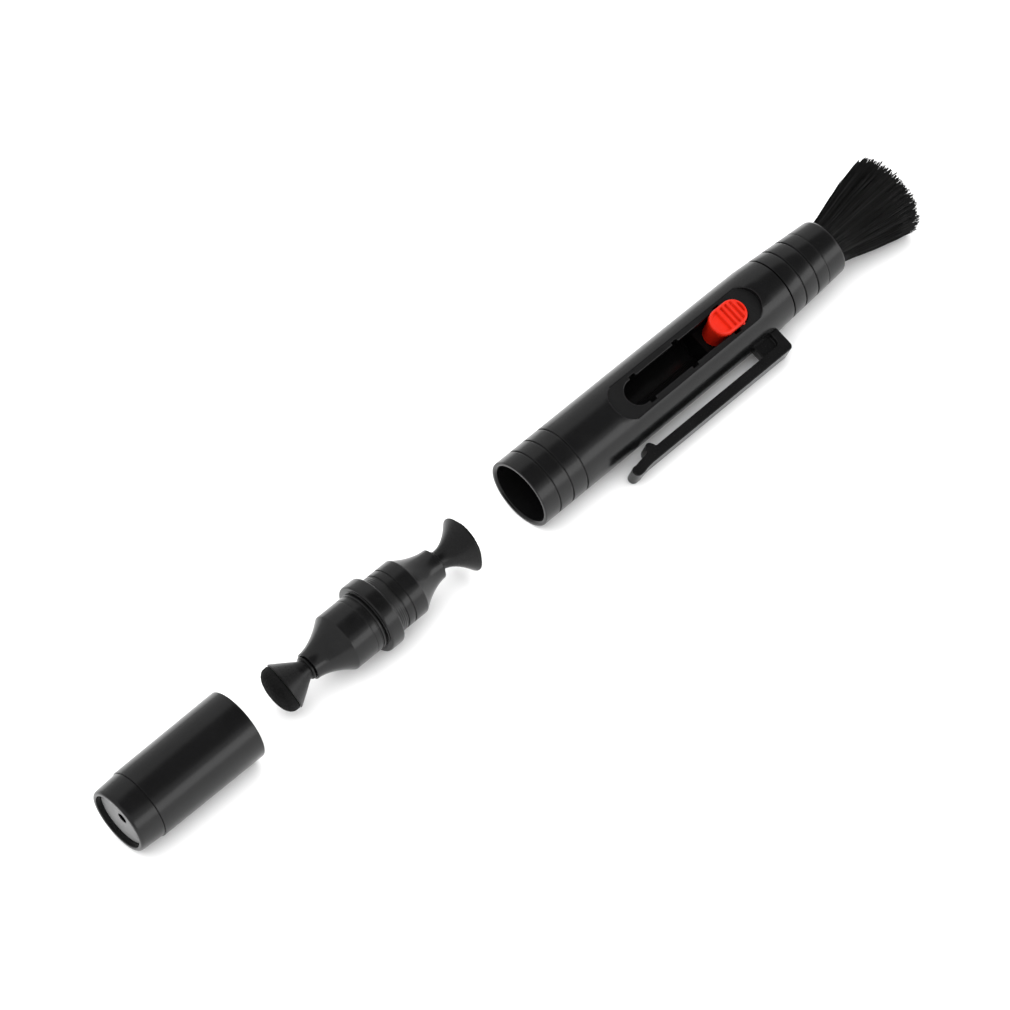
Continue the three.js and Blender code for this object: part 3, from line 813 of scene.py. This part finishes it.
def rested(lines, random):
    """Strands that would sink into the surface lie bent on it, as the pen's own roll puts it."""
    up = np.array([0.0, math.sin(ROLL), math.cos(ROLL)])
    height = lines @ up
    lowest = -BRISTLES.floor + random.uniform(0, BRISTLES.floor_depth, len(lines))[:, None]
    lift = np.maximum(0, lowest - height)
    return lines + lift[..., None] * up


# A direction that no strand runs in, which gives each strand a side when crossed with its own.
NO_STRAND_DIRECTION = (0.3, 0.5, 0.8)


def strand_mesh(name, lines, tones):
    """Three-sided tapering strands along middle lines, as one mesh with a tone on each point."""
    count, levels = lines.shape[:2]
    direction = lines[:, -1] - lines[:, 0]
    direction /= np.linalg.norm(direction, axis=1)[:, None]
    side = np.cross(direction, NO_STRAND_DIRECTION)
    side /= np.linalg.norm(side, axis=1)[:, None]
    other = np.cross(direction, side)
    taper = np.linspace(1, STRANDS.taper, levels)
    taper[-1] = STRANDS.end_taper
    corners = []
    for k in range(3):
        a = 2 * math.pi * k / 3
        offset = side * math.cos(a) + other * math.sin(a)
        corners.append(lines + offset[:, None, :] * (STRANDS.thickness * taper)[None, :, None])
    verts = np.stack(corners, axis=2).reshape(-1, 3)
    faces = []
    for strand in range(count):
        base = strand * levels * 3
        for level in range(levels - 1):
            low, high = base + level * 3, base + level * 3 + 3
            faces += [(low + k, low + (k + 1) % 3, high + (k + 1) % 3, high + k) for k in range(3)]
        last = base + (levels - 1) * 3
        faces += [(base + 2, base + 1, base), (last, last + 1, last + 2)]
    mesh = bpy.data.meshes.new(name)
    mesh.from_pydata(verts.tolist(), [], faces)
    layer = mesh.attributes.new("tone", "FLOAT", "POINT")
    layer.data.foreach_set("value", np.repeat(tones, levels * 3).astype(np.float32))
    obj = bpy.data.objects.new(name, mesh)
    bpy.context.scene.collection.objects.link(obj)
    return obj


def bristles():
    random = np.random.default_rng(SEED)
    lines, angle = strand_lines(random)
    lines = rested(lines, random)
    tones = np.clip(random.normal(STRAND_TONES.usual, STRAND_TONES.variation, len(lines)), 0, 1)
    pale = random.uniform(0, 1, len(lines)) < STRAND_TONES.pale_share
    tones = np.where(pale, STRAND_TONES.pale, tones)
    sector = np.floor(angle / (2 * math.pi) * BRISTLES.tufts).astype(int)
    for tuft in range(BRISTLES.tufts):
        chosen = sector == tuft
        obj = strand_mesh(f"bristles_{tuft + 1:02d}", lines[chosen], tones[chosen])
        finished(obj, HAIR, ["brush_bristles"], crease=180)
        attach(obj, "brush_unit")
        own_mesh(obj)


# ---------------------------------------------------------------- cleaning tip
FRONT, REAR = -1, 1


def from_flange(obj, side):
    """Turns a piece drawn outwards from the flange's middle to the front or the rear side."""
    if side == FRONT:
        obj.data.transform(Matrix.Rotation(math.pi, 4, "Z"))
    obj.data.transform(Matrix.Translation((TIP_MIDDLE, 0, 0)))


def bend_at_neck(obj, flex):
    """Bends a piece drawn straight out from its holder about the neck's pivot, gently at first."""
    towards = Matrix.Rotation(math.radians(flex.towards), 3, "X")
    pivot = Vector((NECK.pivot, 0, 0))
    for vertex in obj.data.vertices:
        share = (vertex.co.x - NECK_BEND.start) / (NECK_BEND.end - NECK_BEND.start)
        share = min(1.0, max(0.0, share))
        eased = share * share * (3 - 2 * share)
        turn = towards @ Matrix.Rotation(math.radians(flex.bent) * eased, 3, "Y") @ towards.transposed()
        vertex.co = pivot + turn @ (vertex.co - pivot)


def fine_thread(end):
    """Corners of the fine ridges next to the flange, up to an end."""
    corners = []
    x = THREAD.start
    while x + THREAD.pitch < end - THREAD.clearance:
        corners += [(x, HOLDER.radius, 0.05), (x + THREAD.pitch / 2, HOLDER.radius - THREAD.depth, 0.05)]
        x += THREAD.pitch
    return corners


def tip_holder(node_name, side, lines, line, end_radius):
    """One waisted half, with a spigot in the flange and a cup for the rubber neck."""
    span = HOLDER.end - HOLDER.edge
    waist = []
    for share in np.linspace(0, 1, 25)[1:-1]:
        drop = (1 - share) ** HOLDER.curve
        waist.append((HOLDER.edge + span * share, end_radius + (HOLDER.radius - end_radius) * drop))
    cup_floor = HOLDER.end - HOLDER.cup_depth
    holder = lathe(node_name + "_fine", [
        (HOLDER.spigot_start, HOLDER.bore),
        (HOLDER.spigot_start, HOLDER.spigot),
        (HOLDER.start, HOLDER.spigot),
        (HOLDER.start, HOLDER.radius, 0.06),
        *fine_thread(lines[0]),
        *grooves(lines, line, lambda x: HOLDER.radius),
        (HOLDER.edge, HOLDER.radius, 0.12),
        *waist,
        (HOLDER.end, end_radius, 0.18),
        (HOLDER.end, NECK.cup, 0.08),
        (cup_floor, NECK.cup - NECK.cup_taper),
        (cup_floor, 0),
        (HOLDER.bore_depth, 0),
        (HOLDER.bore_depth, HOLDER.bore),
    ])
    from_flange(holder, side)
    finished(holder, SATIN_BLACK, [node_name], crease=24)
    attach(holder, "tip_unit")


def flange_ring():
    half = FLANGE.half_width
    ring = lathe("flange_ring_fine", [
        (-half, FLANGE.bore),
        (-half, FLANGE.recess_radius - 0.05, 0.05),
        (-half + FLANGE.recess, FLANGE.recess_radius, 0.05),
        (-half + FLANGE.recess, FLANGE.radius, FLANGE.rounding),
        (half, FLANGE.radius, FLANGE.rounding),
        (half, FLANGE.bore),
    ], steps=5)
    from_flange(ring, REAR)
    finished(ring, SATIN_BLACK, ["flange_ring"])
    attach(ring, "tip_unit")


def rubber_cone(node_name, side, cone, flex):
    """A neck held in the holder's end, a thin collar, and a flare out to the pad's rim."""
    pivot = NECK.pivot
    rim = pivot + cone.rim
    flare = []
    for share in np.linspace(0, 1, 21)[1:-1]:
        x = pivot + NECK.flare_start + (cone.rim - NECK.flare_start) * share
        flare.append((x, NECK.radius + (cone.radius - NECK.radius) * share**cone.curve))
    obj = lathe(node_name + "_fine", [
        (NECK.root, 0),
        (NECK.root, NECK.stem, 0.1),
        (HOLDER.end - 0.1, NECK.stem),
        (HOLDER.end + 0.12, NECK.stem, 0.05),
        (HOLDER.end + COLLAR.start, COLLAR.radius, 0.12),
        (HOLDER.end + COLLAR.end, COLLAR.radius, 0.15),
        (HOLDER.end + 0.75, NECK.radius, 0.1),
        *flare,
        (rim, cone.radius, 0.08),
        (rim + CONE_LIP, cone.radius, 0.08),
        (rim + CONE_LIP, 0),
    ], hollow=False)
    bend_at_neck(obj, flex)
    from_flange(obj, side)
    finished(obj, RUBBER, [node_name], crease=30)
    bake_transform(obj)


def crowned_pad(node_name, side, cone, flex, pad, body, random):
    """A pad that bulges from a firm rim, with the slight unevenness of suede over foam."""
    rim = NECK.pivot + cone.rim + CONE_LIP
    start = rim + PAD_GAP.rim
    full = rim + PAD_GAP.crown + pad.height
    skirt = PAD_FORM.skirt * pad.height
    dome = []
    for angle in np.radians(np.linspace(0, 90, 30)[:-1]):
        crown = math.sin(angle) ** PAD_FORM.crown
        radius = pad.radius * math.cos(angle) ** PAD_FORM.side
        dome.append((start + skirt + (full - start - skirt) * crown, radius))
    obj = lathe(node_name + "_fine", [
        (start, 0),
        (start, pad.radius * 0.6),
        (start, pad.radius - 0.12, 0.1),
        (start + 0.3 * skirt, pad.radius),
        *dome,
        (full, 0),
    ], hollow=False, segments=160)
    uneven_from = start + 0.2 * skirt
    for vertex in obj.data.vertices:
        r = math.hypot(vertex.co.y, vertex.co.z)
        if vertex.co.x > uneven_from and r > PAD_FORM.smooth_middle:
            lump = random.normal(0, PAD_FORM.unevenness)
            vertex.co.x += lump
            vertex.co.y *= 1 + lump / r
            vertex.co.z *= 1 + lump / r
    bend_at_neck(obj, flex)
    from_flange(obj, side)
    finished(obj, SUEDE, [node_name], crease=180)
    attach(obj, body)


def cleaning_tip():
    random = np.random.default_rng(SEED + 1)
    tip_holder("tip_holder_front", FRONT, FRONT_LINES, FRONT_LINE, HOLDER.front_end_radius)
    tip_holder("tip_holder_rear", REAR, REAR_LINES, REAR_LINE, HOLDER.rear_end_radius)
    flange_ring()
    rubber_cone("front_tip_cone", FRONT, FRONT_CONE, FRONT_FLEX)
    rubber_cone("rear_tip_cone", REAR, REAR_CONE, REAR_FLEX)
    crowned_pad("front_pad", FRONT, FRONT_CONE, FRONT_FLEX, FRONT_PAD, "front_tip", random)
    crowned_pad("rear_pad", REAR, REAR_CONE, REAR_FLEX, REAR_PAD, "rear_tip", random)


# ---------------------------------------------------------------- cap
def in_cap(obj):
    """Puts a piece drawn from the cap's open rim towards +x in its place, with its end towards -x."""
    obj.data.transform(Matrix.Rotation(math.pi, 4, "Z"))
    obj.data.transform(Matrix.Translation((CAP.rim, 0, 0)))


def cap_shell():
    def radius_at(x):
        return BARREL.radius + (CAP.band_radius - BARREL.radius) * x / CAP.band

    stepped = CAP.band_radius - CAP.band_step
    shell = lathe("cap_shell_fine", [
        (0, BARREL.radius, MOUTH.rounding),
        (8, radius_at(8)),
        (16, radius_at(16)),
        (CAP.band, CAP.band_radius, 0.08),
        (CAP.band + 0.02, stepped - 0.06, 0.03),
        (CAP.band + 0.12, stepped, 0.04),
        (CAP.length, CAP.end_radius, CAP.end_rounding),
        (CAP.length, CAP.recess_radius, 0.18),
        (CAP.ledge, CAP.recess_radius),
        (CAP.ledge, CAP.bore),
        (MOUTH.chamfer, CAP.bore, MOUTH.inner_rounding),
        (0, CAP.bore + MOUTH.chamfer, MOUTH.outer_rounding),
    ], segments=BODY_SEGMENTS, steps=5)
    in_cap(shell)
    finished(shell, GLOSS_BLACK, ["cap_shell"])
    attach(shell, "cap")


def cap_end_disc():
    disc = lathe("cap_end_disc_fine", [
        (DISC.near, DISC.radius),
        (DISC.far - 0.1, DISC.radius, 0.08),
        (DISC.far, DISC.radius - 0.12, 0.06),
        (DISC.far, DISC.hole, 0.05),
        (DISC.far - DISC.hole_edge, DISC.hole),
        (DISC.near, DISC.hole + DISC.hole_widening),
    ])
    in_cap(disc)
    finished(disc, GREY, ["cap_end_disc"])
    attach(disc, "cap")


def carbon_sponge():
    random = np.random.default_rng(SEED + 2)
    depth = SPONGE.far - SPONGE.near
    radii = np.linspace(0, SPONGE.radius - SPONGE.edge, 24)
    face = [(SPONGE.near + SPONGE.sag * (r / SPONGE.radius) ** 6, r) for r in radii]
    sponge = lathe("carbon_sponge_fine", [
        *face,
        (SPONGE.near + 0.2 * depth, SPONGE.radius, 0.2),
        (SPONGE.far, SPONGE.radius, 0.1),
        (SPONGE.far, 0),
    ], hollow=False, segments=96)
    for vertex in sponge.data.vertices:
        if vertex.co.x < SPONGE.near + SPONGE.sag:
            vertex.co.x += abs(random.normal(0, SPONGE.nap))
    in_cap(sponge)
    finished(sponge, FELT, ["carbon_sponge"], crease=180)
    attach(sponge, "cap")


def hidden_nodes():
    """Inner CAD pieces keep their shapes and get the inner plastic's finish."""
    for name in ("socket_floor", "brush_carrier", "joining_stud", "sponge_holder"):
        obj = frame["nodes"][name]
        obj.data.materials.clear()
        obj.data.materials.append(INNER_BLACK)


# ---------------------------------------------------------------- studio
# Angles are in degrees. The camera's distance and aim are in millimetres, and the lights' sizes in metres.
CAMERA = Sizes(azimuth=-36.0, elevation=49.1, roll=-10.4, distance=839, lens=156.3, aim=(-2.70, -1.96))
FLOOR_SIZE = 12
# The ceiling's darker round patch, from its middle's direction: it fades out between two angles.
CEILING = Sizes(direction=(0.38, -0.25, 0.89), inner=24, outer=38, dark=0.12, light=1.0)
FRONT_BOX = Sizes(size=(2.4, 0.66), distance=1.5, turned=22, bright=2.8, above_floor=0.01)
OVERHEAD = Sizes(size=3.0, height=1.3, bright=2.1)


def camera():
    azimuth, elevation = math.radians(CAMERA.azimuth), math.radians(CAMERA.elevation)
    across, height = math.cos(elevation), math.sin(elevation)
    back = Vector((math.sin(azimuth) * across, -math.cos(azimuth) * across, height))
    level = back.to_track_quat("Z", "Y").to_matrix()
    turn = level @ Matrix.Rotation(math.radians(CAMERA.roll), 3, "Z")
    right, up = turn.col[0], turn.col[1]
    aim = RIM + (right * CAMERA.aim[0] + up * CAMERA.aim[1]) * MM
    data = bpy.data.cameras.new("camera")
    data.lens = CAMERA.lens
    data.clip_start, data.clip_end = 0.02, 50
    obj = bpy.data.objects.new("camera", data)
    obj.matrix_world = Matrix.Translation(aim + back * CAMERA.distance * MM) @ turn.to_4x4()
    bpy.context.scene.collection.objects.link(obj)
    bpy.context.scene.camera = obj


def floor():
    bpy.ops.mesh.primitive_plane_add(size=FLOOR_SIZE)
    plane = bpy.context.object
    plane.name = "floor"
    material, tree, principled, place = shader("pale_floor", Roughness=0.9, Specular_IOR_Level=0.1)
    tint = noise(tree, place, scale=30, detail=3)
    tree.links.new(tinted(tree, tint, (0.88, 0.88, 0.88), (0.9, 0.9, 0.9)), principled.inputs["Base Color"])
    plane.data.materials.append(material)


def softbox(name, place, aim, size, bright, reflected=True):
    """A soft area light at place, facing aim, with an even brightness over its width and height."""
    width, height = size
    data = bpy.data.lights.new(name, "AREA")
    data.shape = "RECTANGLE"
    data.size, data.size_y = width, height
    data.energy = bright * math.pi * width * height
    obj = bpy.data.objects.new(name, data)
    obj.location = place
    obj.rotation_euler = (Vector(place) - Vector(aim)).to_track_quat("Z", "Y").to_euler()
    obj.visible_glossy = reflected
    bpy.context.scene.collection.objects.link(obj)


def studio_lights():
    turned = math.radians(FRONT_BOX.turned)
    height = FRONT_BOX.size[1]
    place = Vector((math.sin(turned), -math.cos(turned), 0)) * FRONT_BOX.distance
    place.z = height / 2 + FRONT_BOX.above_floor
    softbox("front_softbox", place, (0, 0, place.z), FRONT_BOX.size, FRONT_BOX.bright)
    above = (0, 0, OVERHEAD.height)
    size = (OVERHEAD.size, OVERHEAD.size)
    softbox("overhead_softbox", above, (0, 0, 0), size, OVERHEAD.bright, reflected=False)


def studio_world():
    """A white world with a darker patch in its ceiling."""
    world = bpy.data.worlds.new("studio")
    bpy.context.scene.world = world
    world.use_nodes = True
    tree = world.node_tree
    direction = node(tree, "ShaderNodeTexCoord").outputs["Generated"]
    facing = node(tree, "ShaderNodeVectorMath", {"operation": "DOT_PRODUCT"})
    tree.links.new(direction, facing.inputs[0])
    facing.inputs[1].default_value = Vector(CEILING.direction).normalized()
    shade = node(
        tree, "ShaderNodeMapRange", {"interpolation_type": "SMOOTHSTEP"}, Value=facing.outputs["Value"],
        From_Min=math.cos(math.radians(CEILING.outer)), From_Max=math.cos(math.radians(CEILING.inner)),
        To_Min=CEILING.light, To_Max=CEILING.dark,
    )
    tree.links.new(shade.outputs["Result"], tree.nodes["Background"].inputs["Strength"])
    tree.nodes["Background"].inputs["Color"].default_value = (1, 1, 1, 1)


# ---------------------------------------------------------------- the scene
camera()
floor()
studio_lights()
studio_world()
bpy.context.scene.view_settings.view_transform = "Standard"

barrel_shell()
bore_rail()
nose_collar()
pocket_clip()
slide_button()
button_lug()
brush_ferrule()
bristles()
cleaning_tip()
cap_shell()
cap_end_disc()
carbon_sponge()
hidden_nodes()
